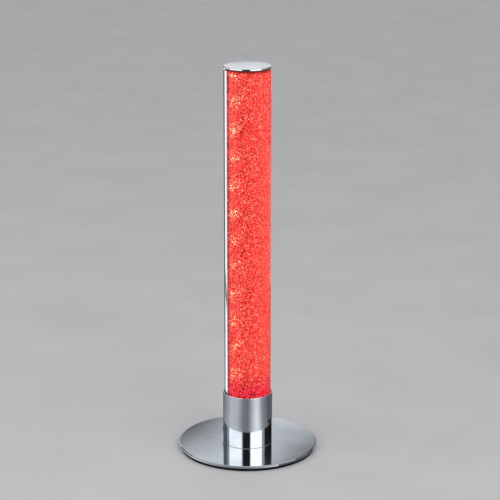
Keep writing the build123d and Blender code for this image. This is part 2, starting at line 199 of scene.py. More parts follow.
class Polish(Enum):
    """Which way the polishing mop or the drawing die ran over a metal."""

    ROUND = "circles about the lamp's axis"
    UPRIGHT = "lines along the lamp's axis"
    TUMBLED = "no direction"


@dataclass(frozen=True)
class Metal(Finish):
    """A bare or plated metal with polishing lines and faint smears.

    Attributes:
        colour: Colour of the clean metal.
        smear: Colour where a hand or a cloth has passed.
        worn: Colour along the edges.
        roughness: Least and most roughness.
        polish: Way of the polishing lines.
        line_mm: Spacing of the lines, drawn coarser than the real ones so that they show.
        smear_mm: Width of the smears.
        depth_mm: Height of the lines.
        edge_mm: Width of the worn edges.
    """

    colour: str = "#CFD4D9"
    smear: str = "#C6CACF"
    worn: str = "#DCE1E6"
    roughness: tuple[float, float] = (0.04, 0.09)
    polish: Polish = Polish.TUMBLED
    line_mm: float = 0.5
    smear_mm: float = 30.0
    depth_mm: float = 0.001
    edge_mm: float = 0.3

    def paint(self, nodes: Nodes) -> None:
        """Paint colour, roughness and fine lines.

        Args:
            nodes: Nodes of the material.
        """
        coords = nodes.add("TexCoord").outputs["Object"]
        fine = {"Scale": per_mm(self.line_mm), "Detail": 2.0}
        if self.polish is Polish.ROUND:
            flat = nodes.add("Mapping", {"Vector": coords, "Scale": (1.0, 1.0, 0.0)})
            radius = nodes.add("VectorMath", (flat,), operation="LENGTH")
            lines = nodes.add("TexNoise", {"W": radius, **fine}, noise_dimensions="1D")
        else:
            stretch = DRAWN_STRETCH if self.polish is Polish.UPRIGHT else 1.0
            drawn = nodes.add("Mapping", {"Vector": coords, "Scale": (1.0, 1.0, stretch)})
            lines = nodes.add("TexNoise", {"Vector": drawn, **fine})
        smears = nodes.add("TexNoise", {"Vector": coords, "Scale": per_mm(self.smear_mm), "Detail": 4.0})
        both = nodes.add("Mix", {"Factor": 0.6, "A": lines, "B": smears}, data_type="FLOAT")
        rough = nodes.add("MapRange", (both, *NOISE_SPAN, *self.roughness))
        tint = nodes.add("ValToRGB", {"Fac": smears}, stops=[(0.42, self.colour), (0.62, self.smear)])
        edge = worn_edge(nodes, self.edge_mm)
        tint = nodes.add("Mix", {"Factor": edge, "A": tint, "B": linear(self.worn)}, data_type="RGBA")
        rough = nodes.add("Math", (edge, WEAR_ROUGHNESS, rough), operation="MULTIPLY_ADD")
        bump = nodes.add("Bump", {"Strength": 0.3, "Distance": self.depth_mm * MM, "Height": lines})
        nodes.shade({"Base Color": tint, "Roughness": rough, "Normal": bump, "Metallic": 1.0})


class Grain(Enum):
    """What the fine relief of a plastic or rubber is, with the texture that draws it."""

    MOULDED = "TexNoise"
    CUT_CELLS = "TexVoronoi"


@dataclass(frozen=True)
class Moulding(Finish):
    """A moulded or pressed material, such as plastic, rubber or felt, with a fine grain.

    Attributes:
        colour: Main colour.
        fleck: Colour of the fine variation.
        worn: Colour along the edges.
        roughness: Least and most roughness.
        grain: Kind of grain.
        grain_mm: Width of the grain, drawn as coarse as it needs to show.
        cloud_grains: Width of the slow variation, in grains.
        depth_mm: Height of the grain.
        edge_mm: Width of the worn edges.
        ior: Refractive index.
        specular: Share of the gloss that the grain leaves; 0.5 is all of it.
    """

    colour: str = "#101113"
    fleck: str = "#1B1C1F"
    worn: str = "#242529"
    roughness: tuple[float, float] = (0.35, 0.5)
    grain: Grain = Grain.MOULDED
    grain_mm: float = 0.4
    cloud_grains: float = 12.0
    depth_mm: float = 0.02
    edge_mm: float = 0.2
    ior: float = 1.53
    specular: float = 0.5

    def paint(self, nodes: Nodes) -> None:
        """Paint colour, roughness and the mould's grain.

        Args:
            nodes: Nodes of the material.
        """
        coords = nodes.add("TexCoord").outputs["Object"]
        relief = nodes.add(self.grain.value, {"Vector": coords, "Scale": per_mm(self.grain_mm)})
        cloud_mm = self.cloud_grains * self.grain_mm
        cloud = nodes.add("TexNoise", {"Vector": coords, "Scale": per_mm(cloud_mm), "Detail": 3.0})
        both = nodes.add("Mix", {"Factor": 0.5, "A": relief, "B": cloud}, data_type="FLOAT")
        tint = nodes.add("ValToRGB", {"Fac": both}, stops=zip(GRAIN_SPAN, (self.colour, self.fleck)))
        rough = nodes.add("MapRange", (both, *GRAIN_SPAN, *self.roughness))
        edge = worn_edge(nodes, self.edge_mm)
        tint = nodes.add("Mix", {"Factor": edge, "A": tint, "B": linear(self.worn)}, data_type="RGBA")
        rough = nodes.add("Math", (edge, -WEAR_ROUGHNESS, rough), operation="MULTIPLY_ADD")
        bump = nodes.add("Bump", {"Strength": 0.6, "Distance": self.depth_mm * MM, "Height": relief})
        nodes.shade({
            "Base Color": tint, "Roughness": rough, "Normal": bump, "IOR": self.ior,
            "Specular IOR Level": self.specular})


@dataclass(frozen=True)
class LitMoulding(Moulding):
    """A moulding with the film's red light, falling on it from below, painted on as a glow.

    Attributes:
        spill: Colours of the painted light on it, at the lower height and at the upper one.
        reach_mm: The two heights.
    """

    spill: tuple[str, str] = ("#780608", "#3A060A")
    reach_mm: tuple[float, float] = (418.0, 420.2)

    def paint(self, nodes: Nodes) -> None:
        """Paint the moulding, and the light on it as a painted glow.

        Args:
            nodes: Nodes of the material.
        """
        super().paint(nodes)
        axes = nodes.add("SeparateXYZ", (nodes.add("TexCoord").outputs["Object"],))
        low, high = (height * MM for height in self.reach_mm)
        rise = nodes.add("MapRange", (axes.outputs["Z"], low, high))
        glow = nodes.add("ValToRGB", {"Fac": rise}, stops=enumerate(self.spill))
        nodes.shade({"Emission Color": glow, "Emission Strength": 1.0})


@dataclass(frozen=True)
class Acrylic(Finish):
    """Clear acrylic with a faint unevenness in its gloss.

    Attributes:
        colour: Tint of the clear plastic.
        streak: Tint along the faint lines in it.
        sheen: Tint of its mirror gloss.
        line_mm: Spacing of the unevenness.
        stretch: Share of the spacing's fineness that is left along the lamp's axis.
        roughness: Least and most roughness.
        ior: Refractive index.
    """

    colour: str = "#FFFFFF"
    streak: str = "#FFFCFA"
    sheen: str = "#505050"
    line_mm: float = 1.5
    stretch: float = DRAWN_STRETCH
    roughness: tuple[float, float] = (0.0, 0.03)
    ior: float = 1.49

    def paint(self, nodes: Nodes) -> None:
        """Paint a clear wall with faint lines in its gloss.

        Args:
            nodes: Nodes of the material.
        """
        coords = nodes.add("TexCoord").outputs["Object"]
        drawn = nodes.add("Mapping", {"Vector": coords, "Scale": (1.0, 1.0, self.stretch)})
        lines = nodes.add("TexNoise", {"Vector": drawn, "Scale": per_mm(self.line_mm), "Detail": 2.0})
        rough = nodes.add("MapRange", (lines, *NOISE_SPAN, *self.roughness))
        tint = nodes.add("ValToRGB", {"Fac": lines}, stops=[(0.4, self.colour), (0.6, self.streak)])
        nodes.shade({
            "Base Color": tint, "Roughness": rough, "IOR": self.ior, "Transmission Weight": 1.0,
            "Specular Tint": linear(self.sheen)})


@dataclass(frozen=True)
class GlitterFilm(Finish):
    """Clear polyester film bonded with glitter grains, with the red light of the LEDs that they scatter
    painted on them as a glow.

    Attributes:
        radius_mm: Radius at which the grains' widths are true.
        grain_mm: Width of the large grains.
        dust_mm: Width of the small grains between them.
        clear_share: Shares of the large grains that are clear, over the dark socket and above it.
        turn: Angles from the front, in radians, between which the light turns into that of the sides.
        contrast: Contrast of the grains' painted glow at the front and at the sides.
        tone: Mean level of their painted glow at the front and at the sides.
        strip_on: Angles, in radians, between which the light of the LED board comes up.
        strip_off: Angles, in radians, between which it goes down again.
        strip_rest: Share of it that is left at the film's edge.
        strip_calm: Contrast that it takes away.
        strip_lift: Tone that it adds.
        lip_degrees: Angle from the front, in degrees, past which the profile's lips keep the light off.
        lip_soft: Half the width of the shadow's edge there, in radians.
        foot_mm: Heights between which the light comes up to its full strength.
        foot_contrast: Contrast that the painted glow has more at the foot than in the rest.
        head_mm: Height past which the top plug keeps the light off.
        head_soft_mm: Half the width of the shadow's edge there.
    """

    radius_mm: float = 22.8
    grain_mm: float = 0.95
    dust_mm: float = 0.65
    clear_share: tuple[float, float] = (0.2, 0.36)
    turn: tuple[float, float] = (0.3, 1.3)
    contrast: tuple[float, float] = (0.9, 1.8)
    tone: tuple[float, float] = (0.59, 0.4)
    strip_on: tuple[float, float] = (1.3, 1.7)
    strip_off: tuple[float, float] = (1.8, 2.0)
    strip_rest: float = 0.3
    strip_calm: float = 0.8
    strip_lift: float = 0.02
    lip_degrees: float = 117.3
    lip_soft: float = 0.02
    foot_mm: tuple[float, float] = (73.0, 90.0)
    foot_contrast: float = 1.2
    head_mm: float = 416.6
    head_soft_mm: float = 0.2

    def paint(self, nodes: Nodes) -> None:
        """Paint the grains, lit, dark or clear, with the LEDs' light on them as a painted glow, over the
        unrolled film.

        Args:
            nodes: Nodes of the material.
        """
        axes = nodes.add("SeparateXYZ", (nodes.add("TexCoord").outputs["Object"],))
        height = axes.outputs["Z"]
        front = nodes.add("Math", (axes.outputs["Y"], -1.0), operation="MULTIPLY")
        turn = nodes.add("Math", (axes.outputs["X"], front), operation="ARCTAN2")
        aside = nodes.add("Math", (turn,), operation="ABSOLUTE")
        arc = nodes.add("Math", (turn, self.radius_mm * MM), operation="MULTIPLY")
        flat = nodes.add("CombineXYZ", (arc, height))
        grain, dust = (
            nodes.add("TexVoronoi", {"Vector": flat, "Scale": per_mm(width)}, voronoi_dimensions="2D")
            for width in (self.grain_mm, self.dust_mm))
        grain_draw = nodes.add("SeparateColor", (grain.outputs["Color"],))
        dust_draw = nodes.add("SeparateColor", (dust.outputs["Color"],))
        tone = nodes.add("Mix", {"Factor": 0.45, "A": grain_draw, "B": dust_draw}, data_type="FLOAT")
        # Painted shade: no LED stands below the lowest one, so the foot of the film's glow is painted a
        # deeper, harder crimson.
        low, full = (level * MM for level in self.foot_mm)
        foot = nodes.add("MapRange", (height, low, full, 1.0, 0.0))
        # Beside the strip, painted light of its board fills the clear grains and evens out the rest.
        rise = nodes.add("MapRange", (aside, *self.strip_on))
        fall = nodes.add("MapRange", (aside, *self.strip_off, 1.0, self.strip_rest))
        beside = nodes.add("Math", (rise, fall), operation="MINIMUM")
        # Grains far from the front stand nearer the LEDs, so their painted glow is more uneven.
        spread = nodes.add("MapRange", (aside, *self.turn, *self.contrast))
        level = nodes.add("MapRange", (aside, *self.turn, *self.tone))
        spread = nodes.add("Math", (beside, -self.strip_calm, spread), operation="MULTIPLY_ADD")
        spread = nodes.add("Math", (foot, self.foot_contrast, spread), operation="MULTIPLY_ADD")
        level = nodes.add("Math", (beside, self.strip_lift, level), operation="MULTIPLY_ADD")
        offset = nodes.add("Math", (tone, 0.5), operation="SUBTRACT")
        lit = nodes.add("Math", (offset, spread, level), operation="MULTIPLY_ADD")
        glow = nodes.add("ValToRGB", {"Fac": lit}, stops=[
            (0.0, "#880206"), (0.2, "#BA0E10"), (0.45, "#E64038"), (0.65, "#F96056"), (0.85, "#FF8474"),
            (1.0, "#FFAC8C")])
        foot_painted_shade = nodes.add("Mix", {"Factor": foot, "A": glow, "B": linear("#FF7CC2")}, data_type="RGBA",
                         blend_type="MULTIPLY")
        # Painted shade: the profile's lips and the top plug keep the light off the film's edges.
        lip = math.radians(self.lip_degrees)
        lee = nodes.add("MapRange", (aside, lip - self.lip_soft, lip + self.lip_soft))
        head, soft = self.head_mm * MM, self.head_soft_mm * MM
        top = nodes.add("MapRange", (height, head - soft, head + soft))
        lee = nodes.add("Math", (lee, top), operation="MAXIMUM")
        shaded = nodes.add("Mix", {"Factor": lee, "A": foot_painted_shade, "B": linear("#7A1214")}, data_type="RGBA")
        # A clear grain gives only a faint painted glow, dark red and brighter beside the strip, and shows
        # what is inside the column.
        least, most = self.clear_share
        share = nodes.add("MapRange", (foot, 0.0, 1.0, most, least))
        clear = nodes.add("Math", (grain_draw.outputs["Green"], share), operation="LESS_THAN")
        window = nodes.add("Mix", {
            "Factor": beside, "A": linear("#840405"), "B": linear("#CE3A3E")}, data_type="RGBA")
        painted_film_glow = nodes.add("Mix", {"Factor": clear, "A": shaded, "B": window}, data_type="RGBA")
        body = nodes.add("ValToRGB", {"Fac": tone}, stops=[(0.2, "#6A0D0F"), (0.8, "#8C1A19")])
        pane = nodes.add("Mix", {"Factor": clear, "A": body, "B": linear("#FF6458")}, data_type="RGBA")
        rough = nodes.add("MapRange", (dust_draw.outputs["Green"], 0.0, 1.0, 0.05, 0.3))
        bump = nodes.add("Bump", {"Strength": 0.4, "Distance": 0.1 * MM, "Height": grain})
        nodes.shade({
            "Base Color": pane, "Roughness": rough, "Normal": bump, "Transmission Weight": clear,
            "Emission Color": painted_film_glow, "Emission Strength": 0.98, "IOR": 1.49, "Specular IOR Level": 0.1})


def from_led(nodes: Nodes, coords: NodeSocket) -> Node:
    """Measure the distance from the middle of the nearest LED, across the strip and along it.

    Args:
        nodes: Nodes of the material.
        coords: Object coordinates.

    Returns:
        A node that gives the distance in metres.
    """
    axes = nodes.add("SeparateXYZ", (coords,))
    start = (LED_FIRST_MM - LED_PITCH_MM / 2) * MM
    along = nodes.add("Math", (axes.outputs["Z"], start), operation="SUBTRACT")
    step = nodes.add("Math", (along, LED_PITCH_MM * MM), operation="FLOORED_MODULO")
    height = nodes.add("Math", (step, LED_PITCH_MM / 2 * MM), operation="SUBTRACT")
    spot = nodes.add("CombineXYZ", (axes.outputs["X"], height))
    return nodes.add("VectorMath", (spot,), operation="LENGTH")


@dataclass(frozen=True)
class LedPackage(Finish):
    """A white LED housing with a glowing lens in a round recess.

    Attributes:
        lens_mm: Radius of the lens.
        core: Share of the radius within which the lens is at its full strength.
        power: Strength of the light from the housing and from the lens.
        shell_mm: Width of the housing's variation.
    """

    lens_mm: float = 2.1
    core: float = 0.7
    power: tuple[float, float] = (14.0, 40.0)
    shell_mm: float = 0.6

    def paint(self, nodes: Nodes) -> None:
        """Paint the housing, and light the lens within its radius.

        Args:
            nodes: Nodes of the material.
        """
        coords = nodes.add("TexCoord").outputs["Object"]
        edge = self.lens_mm * MM
        lens = nodes.add("MapRange", (from_led(nodes, coords), edge, self.core * edge))
        power = nodes.add("MapRange", (lens, 0.0, 1.0, *self.power))
        glow = nodes.add("ValToRGB", {"Fac": lens}, stops=[(0.0, "#FF7456"), (1.0, "#FFD2B6")])
        shell = nodes.add("TexNoise", {"Vector": coords, "Scale": per_mm(self.shell_mm)})
        tint = nodes.add("ValToRGB", {"Fac": shell}, stops=zip(NOISE_SPAN, ("#E6E4DE", "#F2F1EC")))
        rough = nodes.add("MapRange", (shell, *NOISE_SPAN, 0.3, 0.45))
        nodes.shade({
            "Base Color": tint, "Roughness": rough, "Emission Color": glow, "Emission Strength": power})


@dataclass(frozen=True)
class CircuitBoard(Finish):
    """Glass-fibre board under solder mask, with the tracks showing as lines in it.

    Attributes:
        mask: Colour of the solder mask.
        track: Colour of the mask over a track.
        track_mm: Spacing of the tracks.
        weave_mm: Width of the glass weave's variation.
        halo: Brightness of the painted light that LEDs throw on the board round them.
        halo_mm: Distances from an LED's middle where this light starts to fall and where it ends.
    """

    mask: str = "#0E4A2A"
    track: str = "#1C6B3C"
    track_mm: float = 1.6
    weave_mm: float = 0.5
    halo: float = 0.0
    halo_mm: tuple[float, float] = (2.0, 9.0)

    def paint(self, nodes: Nodes) -> None:
        """Paint the mask, the tracks under it and, as a painted glow, the light of LEDs on it.

        Args:
            nodes: Nodes of the material.
        """
        coords = nodes.add("TexCoord").outputs["Object"]
        laid = nodes.add("Mapping", {"Vector": coords, "Rotation": (math.pi / 2, 0.0, 0.0)})
        gap = linear("#000000")
        tracks = nodes.add("TexBrick", {
            "Vector": laid, "Color1": gap, "Color2": gap, "Mortar": linear("#FFFFFF"), "Mortar Size": 0.03,
            "Scale": per_mm(4 * self.track_mm), "Brick Width": 0.9, "Row Height": 0.25})
        tint = nodes.add("ValToRGB", {"Fac": tracks}, stops=[(0.3, self.mask), (0.7, self.track)])
        weave = nodes.add("TexNoise", {"Vector": coords, "Scale": per_mm(self.weave_mm)})
        rough = nodes.add("MapRange", (weave, *NOISE_SPAN, 0.25, 0.4))
        bump = nodes.add("Bump", {"Strength": 0.5, "Distance": 0.03 * MM, "Height": tracks})
        nodes.shade({"Base Color": tint, "Roughness": rough, "Normal": bump, "IOR": 1.55})
        # Painted light: a warm glow of the LEDs on the board round each of them.
        if self.halo > 0:
            distance = from_led(nodes, coords)
            near, far = (radius * MM for radius in self.halo_mm)
            fall = nodes.add("MapRange", (distance, near, far, self.halo, 0.0))
            stops = [(2.5 * MM, "#FFA680"), (7.0 * MM, "#FF5E48")]
            glow = nodes.add("ValToRGB", {"Fac": distance}, stops=stops)
            nodes.shade({"Emission Color": glow, "Emission Strength": fall})


@dataclass(frozen=True)
class WireJackets(Finish):
    """Extruded PVC jackets of four wires that lie side by side, each in its own colour.

    Attributes:
        pitch_mm: Distance from wire to wire.
        skin_mm: Width of the extruded skin's variation.
        jackets: Colours from the wire at the lowest x on.
    """

    pitch_mm: float = 1.8
    skin_mm: float = 0.4
    jackets: tuple[str, str, str, str] = ("#D8D6D0", "#B3201C", "#1E7A35", "#1F3F9C")

    def paint(self, nodes: Nodes) -> None:
        """Paint each wire by its place across the row.

        Args:
            nodes: Nodes of the material.
        """
        coords = nodes.add("TexCoord").outputs["Object"]
        axes = nodes.add("SeparateXYZ", (coords,))
        count = len(self.jackets)
        half = count / 2 * self.pitch_mm * MM
        across = nodes.add("MapRange", (axes.outputs["X"], -half, half))
        jackets = nodes.add("ValToRGB", {"Fac": across}, stops=[
            (place / count, colour) for place, colour in enumerate(self.jackets)])
        jackets.color_ramp.interpolation = "CONSTANT"
        skin = nodes.add("TexNoise", {"Vector": coords, "Scale": per_mm(self.skin_mm)})
        rough = nodes.add("MapRange", (skin, *NOISE_SPAN, 0.35, 0.55))
        bump = nodes.add("Bump", {"Strength": 0.4, "Distance": 0.02 * MM, "Height": skin})
        nodes.shade({"Base Color": jackets, "Roughness": rough, "Normal": bump, "IOR": 1.53})


# Bright chromium over buffed steel: a cold, dark-edged mirror with hair-fine buffing circles.
CHROME_ROUND = Metal("bright_chrome_on_steel", polish=Polish.ROUND)
# The same plating on the drawn cup, buffed along it: the mirror's bands run up and down.
CHROME_DRAWN = Metal("bright_chrome_on_drawn_cup", polish=Polish.UPRIGHT)
# Extruded aluminium, polished and clear anodised: a whiter mirror with lines along the extrusion.
ALUMINIUM = Metal("polished_anodised_aluminium", colour="#F0F1F2", smear="#E6E8EA", worn="#F6F7F8",
                  roughness=(0.06, 0.14), polish=Polish.UPRIGHT, line_mm=0.4, smear_mm=40.0)
# Zinc-plated steel screws: dull silver with a faint yellow and blue bloom.
ZINC = Metal("zinc_plated_steel", colour="#BDBDB6", smear="#A9AEB4", worn="#CFCFCB",
             roughness=(0.25, 0.4), line_mm=0.3, smear_mm=2.0, edge_mm=0.1)
# Turned brass: yellow, with tool marks.
BRASS = Metal("turned_brass", colour="#D9B45F", smear="#C29A48", worn="#E6C97E",
              roughness=(0.2, 0.35), line_mm=0.3, smear_mm=2.0, edge_mm=0.1)
# Deep-drawn aluminium can of a capacitor: satin silver.
CAN = Metal("drawn_aluminium_can", colour="#C9CCD0", smear="#B8BCC2",
            roughness=(0.25, 0.4), line_mm=0.3, smear_mm=3.0, edge_mm=0.1)
# Extruded acrylic: a clear smooth wall with faint drawing lines.
CLEAR = Acrylic("clear_extruded_acrylic")
# Acrylic resin cast over the film's grains: clear facets in a faint blush.
RESIN = Acrylic("clear_cast_resin", colour="#FFE0D8", streak="#FFD8CE", line_mm=1.0, stretch=1.0,
                roughness=(0.02, 0.1))
# Glitter bonded on polyester film: sharp grains, some clear, with the LEDs' light painted on the rest as a
# glow, bright on some and dark on others.
FILM = GlitterFilm("glitter_bonded_polyester_film")
# Moulded LED housings: white round a lens that is too bright to look into.
LEDS = LedPackage("led_housing_with_lit_lens")
# Black ABS from a spark-eroded mould: a soft sheen over a fine grain.
ABS = Moulding("black_moulded_abs", colour="#0B0C0E", fleck="#17181B")
# The same ABS in the shadow gap under the cap, where the film's light is painted on it as a dark red glow.
PLUG_ABS = LitMoulding("black_abs_in_red_light", colour="#0B0C0E", fleck="#17181B", specular=0.2)
# The button's ABS is polished by fingers, so it is a little shinier.
BUTTON_ABS = Moulding("black_button_abs", colour="#0A0B0C", fleck="#141517", worn="#202124",
                      roughness=(0.22, 0.34), grain_mm=0.3)
# EVA foam sheet: matt charcoal with cut cells.
EVA = Moulding("charcoal_eva_foam", colour="#0E0F10", fleck="#1C1D1F", worn="#2C2D30",
               roughness=(0.75, 0.92), grain=Grain.CUT_CELLS, grain_mm=0.7, depth_mm=0.12, edge_mm=0.4,
               ior=1.48, specular=0.1)
# Moulded rubber: dull black with a bloom.
RUBBER = Moulding("black_moulded_rubber", colour="#141415", fleck="#232324", worn="#2E2E2F",
                  roughness=(0.55, 0.75), grain_mm=0.5, ior=1.52)
# Acrylic foam tape: off-white, matt.
TAPE = Moulding("acrylic_foam_tape", colour="#C9C7C0", fleck="#DAD8D2", worn="#B4B2AB",
                roughness=(0.7, 0.85), grain_mm=0.5, edge_mm=0.1, ior=1.48)
# Epoxy of chips, resistors and the coil: matt black with grey flecks.
EPOXY = Moulding("black_moulded_epoxy", colour="#121212", fleck="#262626", worn="#303030",
                 roughness=(0.5, 0.7), grain_mm=0.25, edge_mm=0.1, ior=1.55)
# Unfilled nylon: warm white and slightly shiny.
NYLON = Moulding("natural_moulded_nylon", colour="#DDD9CC", fleck="#E8E5DB", worn="#F0EDE4",
                 roughness=(0.35, 0.5), grain_mm=0.4, edge_mm=0.1)
# Green solder mask printed on glass-fibre board: glossy, with paler lines over the copper.
MASK_GREEN = CircuitBoard("green_solder_mask")
# White solder mask on the LED strip: a pale board with a painted warm halo of light round each LED.
MASK_WHITE = CircuitBoard("white_solder_mask", mask="#E4E4E0", track="#D2D2CC", track_mm=2.4, halo=17.0)
# Extruded PVC: four plain bright wires with a soft shine.
JACKETS = WireJackets("pvc_wire_jackets")


def dress_nodes(finish: Finish, *names: str) -> None:
    """Give nodes of the frame a finish.

    Args:
        finish: Finish to give.
        names: Names of the nodes.
    """
    for name in names:
        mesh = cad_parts[name].data
        for place in range(len(mesh.materials)):
            mesh.materials[place] = finish.material()
        LOG.info("dressed %s in %s", name, finish.name)


def place_mesh(name: str, shape: bmesh.types.BMesh, *finishes: Finish) -> Object:
    """Turn a built shape into an object of the scene.

    Args:
        name: Name of the object.
        shape: Mesh in metres, which is freed.
        finishes: Finishes in the order of the faces' material numbers.

    Returns:
        The new object.
    """
    mesh = bpy.data.meshes.new(name)
    shape.to_mesh(mesh)
    shape.free()
    for finish in finishes:
        mesh.materials.append(finish.material())
    made = bpy.data.objects.new(name, mesh)
    bpy.context.scene.collection.objects.link(made)
    LOG.info("built %s with %d faces", name, len(mesh.polygons))
    return made


@dataclass
class Base:
    """Plate, pad and the collar with what is in it."""

    def dress(self) -> None:
        """Dress the base's nodes."""
        dress_nodes(CHROME_ROUND, "base_plate")
        dress_nodes(CHROME_DRAWN, "base_collar")
        dress_nodes(EVA, "foot_pad")
        dress_nodes(ABS, "column_socket", "button_bush")
        dress_nodes(BUTTON_ABS, "push_button", "switch_plunger")
        dress_nodes(RUBBER, "cord_grommet")
        dress_nodes(BRASS, "thread_inserts")
        dress_nodes(ZINC, "base_screws", "socket_screws", "board_screws")


@dataclass
class Column:
    """Profile, clear tube, glitter film and the LED strip.

    Attributes:
        bottom_mm: Lower end of the film.
        top_mm: Upper end of the film.
        half_turn: Angle from the film's front to its edge, in degrees.
        contact_mm: Radius at which the film touches the tube's wall.
        root_mm: Radius of the grains' roots.
        grain_mm: Distance from facet to facet.
        tooth_mm: Height of a grain's tip over its root.
        stray: Share of that distance by which a corner may stray.
        seed: Start of the film's random draws.
    """

    bottom_mm: float = 50.0
    top_mm: float = 418.0
    half_turn: float = 121.3
    contact_mm: float = 23.05
    root_mm: float = 22.7
    grain_mm: float = 1.2
    tooth_mm: float = 0.6
    stray: float = 0.25
    seed: int = 7

    def build_film(self) -> None:
        """Shape the film: smooth where it meets the tube, faceted by its grains on the inside."""
        draw = random.Random(self.seed)
        half_turn = math.radians(self.half_turn)
        length = self.top_mm - self.bottom_mm
        across = round(2 * half_turn * self.contact_mm / self.grain_mm)
        along = round(length / self.grain_mm)
        shape = bmesh.new()
        smooth, facets = [], []
        for row in range(along + 1):
            outer, inner = [], []
            for column in range(across + 1):
                shift_u = draw.uniform(-self.stray, self.stray) if 0 < column < across else 0.0
                shift_v = draw.uniform(-self.stray, self.stray) if 0 < row < along else 0.0
                angle = half_turn * (2 * (column + shift_u) / across - 1)
                height = self.bottom_mm + length * (row + shift_v) / along
                tip = self.root_mm - self.tooth_mm * draw.random()
                for radius, line in ((self.contact_mm, outer), (tip, inner)):
                    spot = Vector((radius * math.sin(angle), -radius * math.cos(angle), height))
                    line.append(shape.verts.new(spot * MM))
            smooth.append(outer)
            facets.append(inner)
        for lower, upper in zip(smooth, smooth[1:]):
            for left, right, far, near in zip(lower, lower[1:], upper[1:], upper):
                shape.faces.new((left, right, far, near)).smooth = True
        for lower, upper in zip(facets, facets[1:]):
            for left, right, far, near in zip(lower, lower[1:], upper[1:], upper):
                if draw.random() < 0.5:
                    halves = (left, near, far), (left, far, right)
                else:
                    halves = (left, near, right), (near, far, right)
                for half in halves:
                    shape.faces.new(half).material_index = 1
        rims = [
            (smooth[0], facets[0]), (facets[-1], smooth[-1]),
            ([line[0] for line in facets], [line[0] for line in smooth]),
            ([line[-1] for line in smooth], [line[-1] for line in facets])]
        for first, second in rims:
            for a, b, c, d in zip(first, second, second[1:], first[1:]):
                shape.faces.new((a, b, c, d))
                for edge in ((a, d), (b, c)):
                    shape.edges.get(edge).smooth = False
        shape.normal_update()
        film = place_mesh("faceted_glitter_film", shape, FILM, RESIN)
        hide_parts("glitter_film")
        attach(film, LAMP)

    def dress(self) -> None:
        """Dress the column's nodes."""
        dress_nodes(ALUMINIUM, "back_profile")
        dress_nodes(CLEAR, "diffuser_tube")
        dress_nodes(FILM, "glitter_film")
        dress_nodes(TAPE, "led_tape")
        dress_nodes(MASK_WHITE, "led_board")
        dress_nodes(LEDS, "led_chips")
        dress_nodes(EPOXY, "led_resistors")
        dress_nodes(JACKETS, "led_leads")


@dataclass
class Top:
    """Plug and polished cap."""

    def dress(self) -> None:
        """Dress the top's nodes."""
        dress_nodes(PLUG_ABS, "top_plug")
        dress_nodes(CHROME_ROUND, "top_cap")
        dress_nodes(ZINC, "plug_screws")


@dataclass
class Control:
    """Control board and what is soldered on it."""

    def dress(self) -> None:
        """Dress the board's nodes."""
        dress_nodes(MASK_GREEN, "control_board")
        dress_nodes(EPOXY, "control_chip", "power_inductor", "switch_body")
        dress_nodes(CAN, "smoothing_capacitor")
        dress_nodes(NYLON, "lead_connector", "supply_terminal")


@dataclass(frozen=True)
class TableTop(Finish):
    """Sprayed matt lacquer on a pale table: plain, with hardly any sheen.

    Attributes:
        colour: Colour of the lacquer.
        cloud: Colour of its faint variation.
        roughness: Least and most roughness.
        cloud_mm: Width of the variation.
    """

    colour: str = "#C6C7C9"
    cloud: str = "#CBCCCE"
    roughness: tuple[float, float] = (0.62, 0.68)
    cloud_mm: float = 120.0

    def paint(self, nodes: Nodes) -> None:
        """Paint a faint cloud in the colour and the sheen.

        Args:
            nodes: Nodes of the material.
        """
        coords = nodes.add("TexCoord").outputs["Object"]
        cloud = nodes.add("TexNoise", {"Vector": coords, "Scale": per_mm(self.cloud_mm), "Detail": 3.0})
        tint = nodes.add("ValToRGB", {"Fac": cloud}, stops=zip(NOISE_SPAN, (self.colour, self.cloud)))
        rough = nodes.add("MapRange", (cloud, *NOISE_SPAN, *self.roughness))
        nodes.shade({"Base Color": tint, "Roughness": rough, "IOR": 1.5, "Specular IOR Level": 0.15})


def show_face(nodes: Nodes) -> None:
    """Make a panel dull, and clear from behind, so that the floor does not mirror the back of one on it.

    Args:
        nodes: Nodes of the panel's material.
    """
    back = nodes.add("NewGeometry").outputs["Backfacing"]
    face = nodes.add("Math", (1.0, back), operation="SUBTRACT")
    nodes.shade({"Alpha": face, "Base Color": linear("#0A0A0A"), "Roughness": 1.0})


@dataclass(frozen=True)
class LightPanel(Finish):
    """An opal light panel, lit evenly, that stands in the metal's reflections.

    Attributes:
        level: Brightness, or that of the middle where it isn't even.
        colour: Colour of its light.
    """

    level: float = 1.0
    colour: str = "#F7FBFF"

    def paint(self, nodes: Nodes) -> None:
        """Light the panel evenly.

        Args:
            nodes: Nodes of the material.
        """
        nodes.shade({"Emission Color": linear(self.colour), "Emission Strength": self.level})
        show_face(nodes)


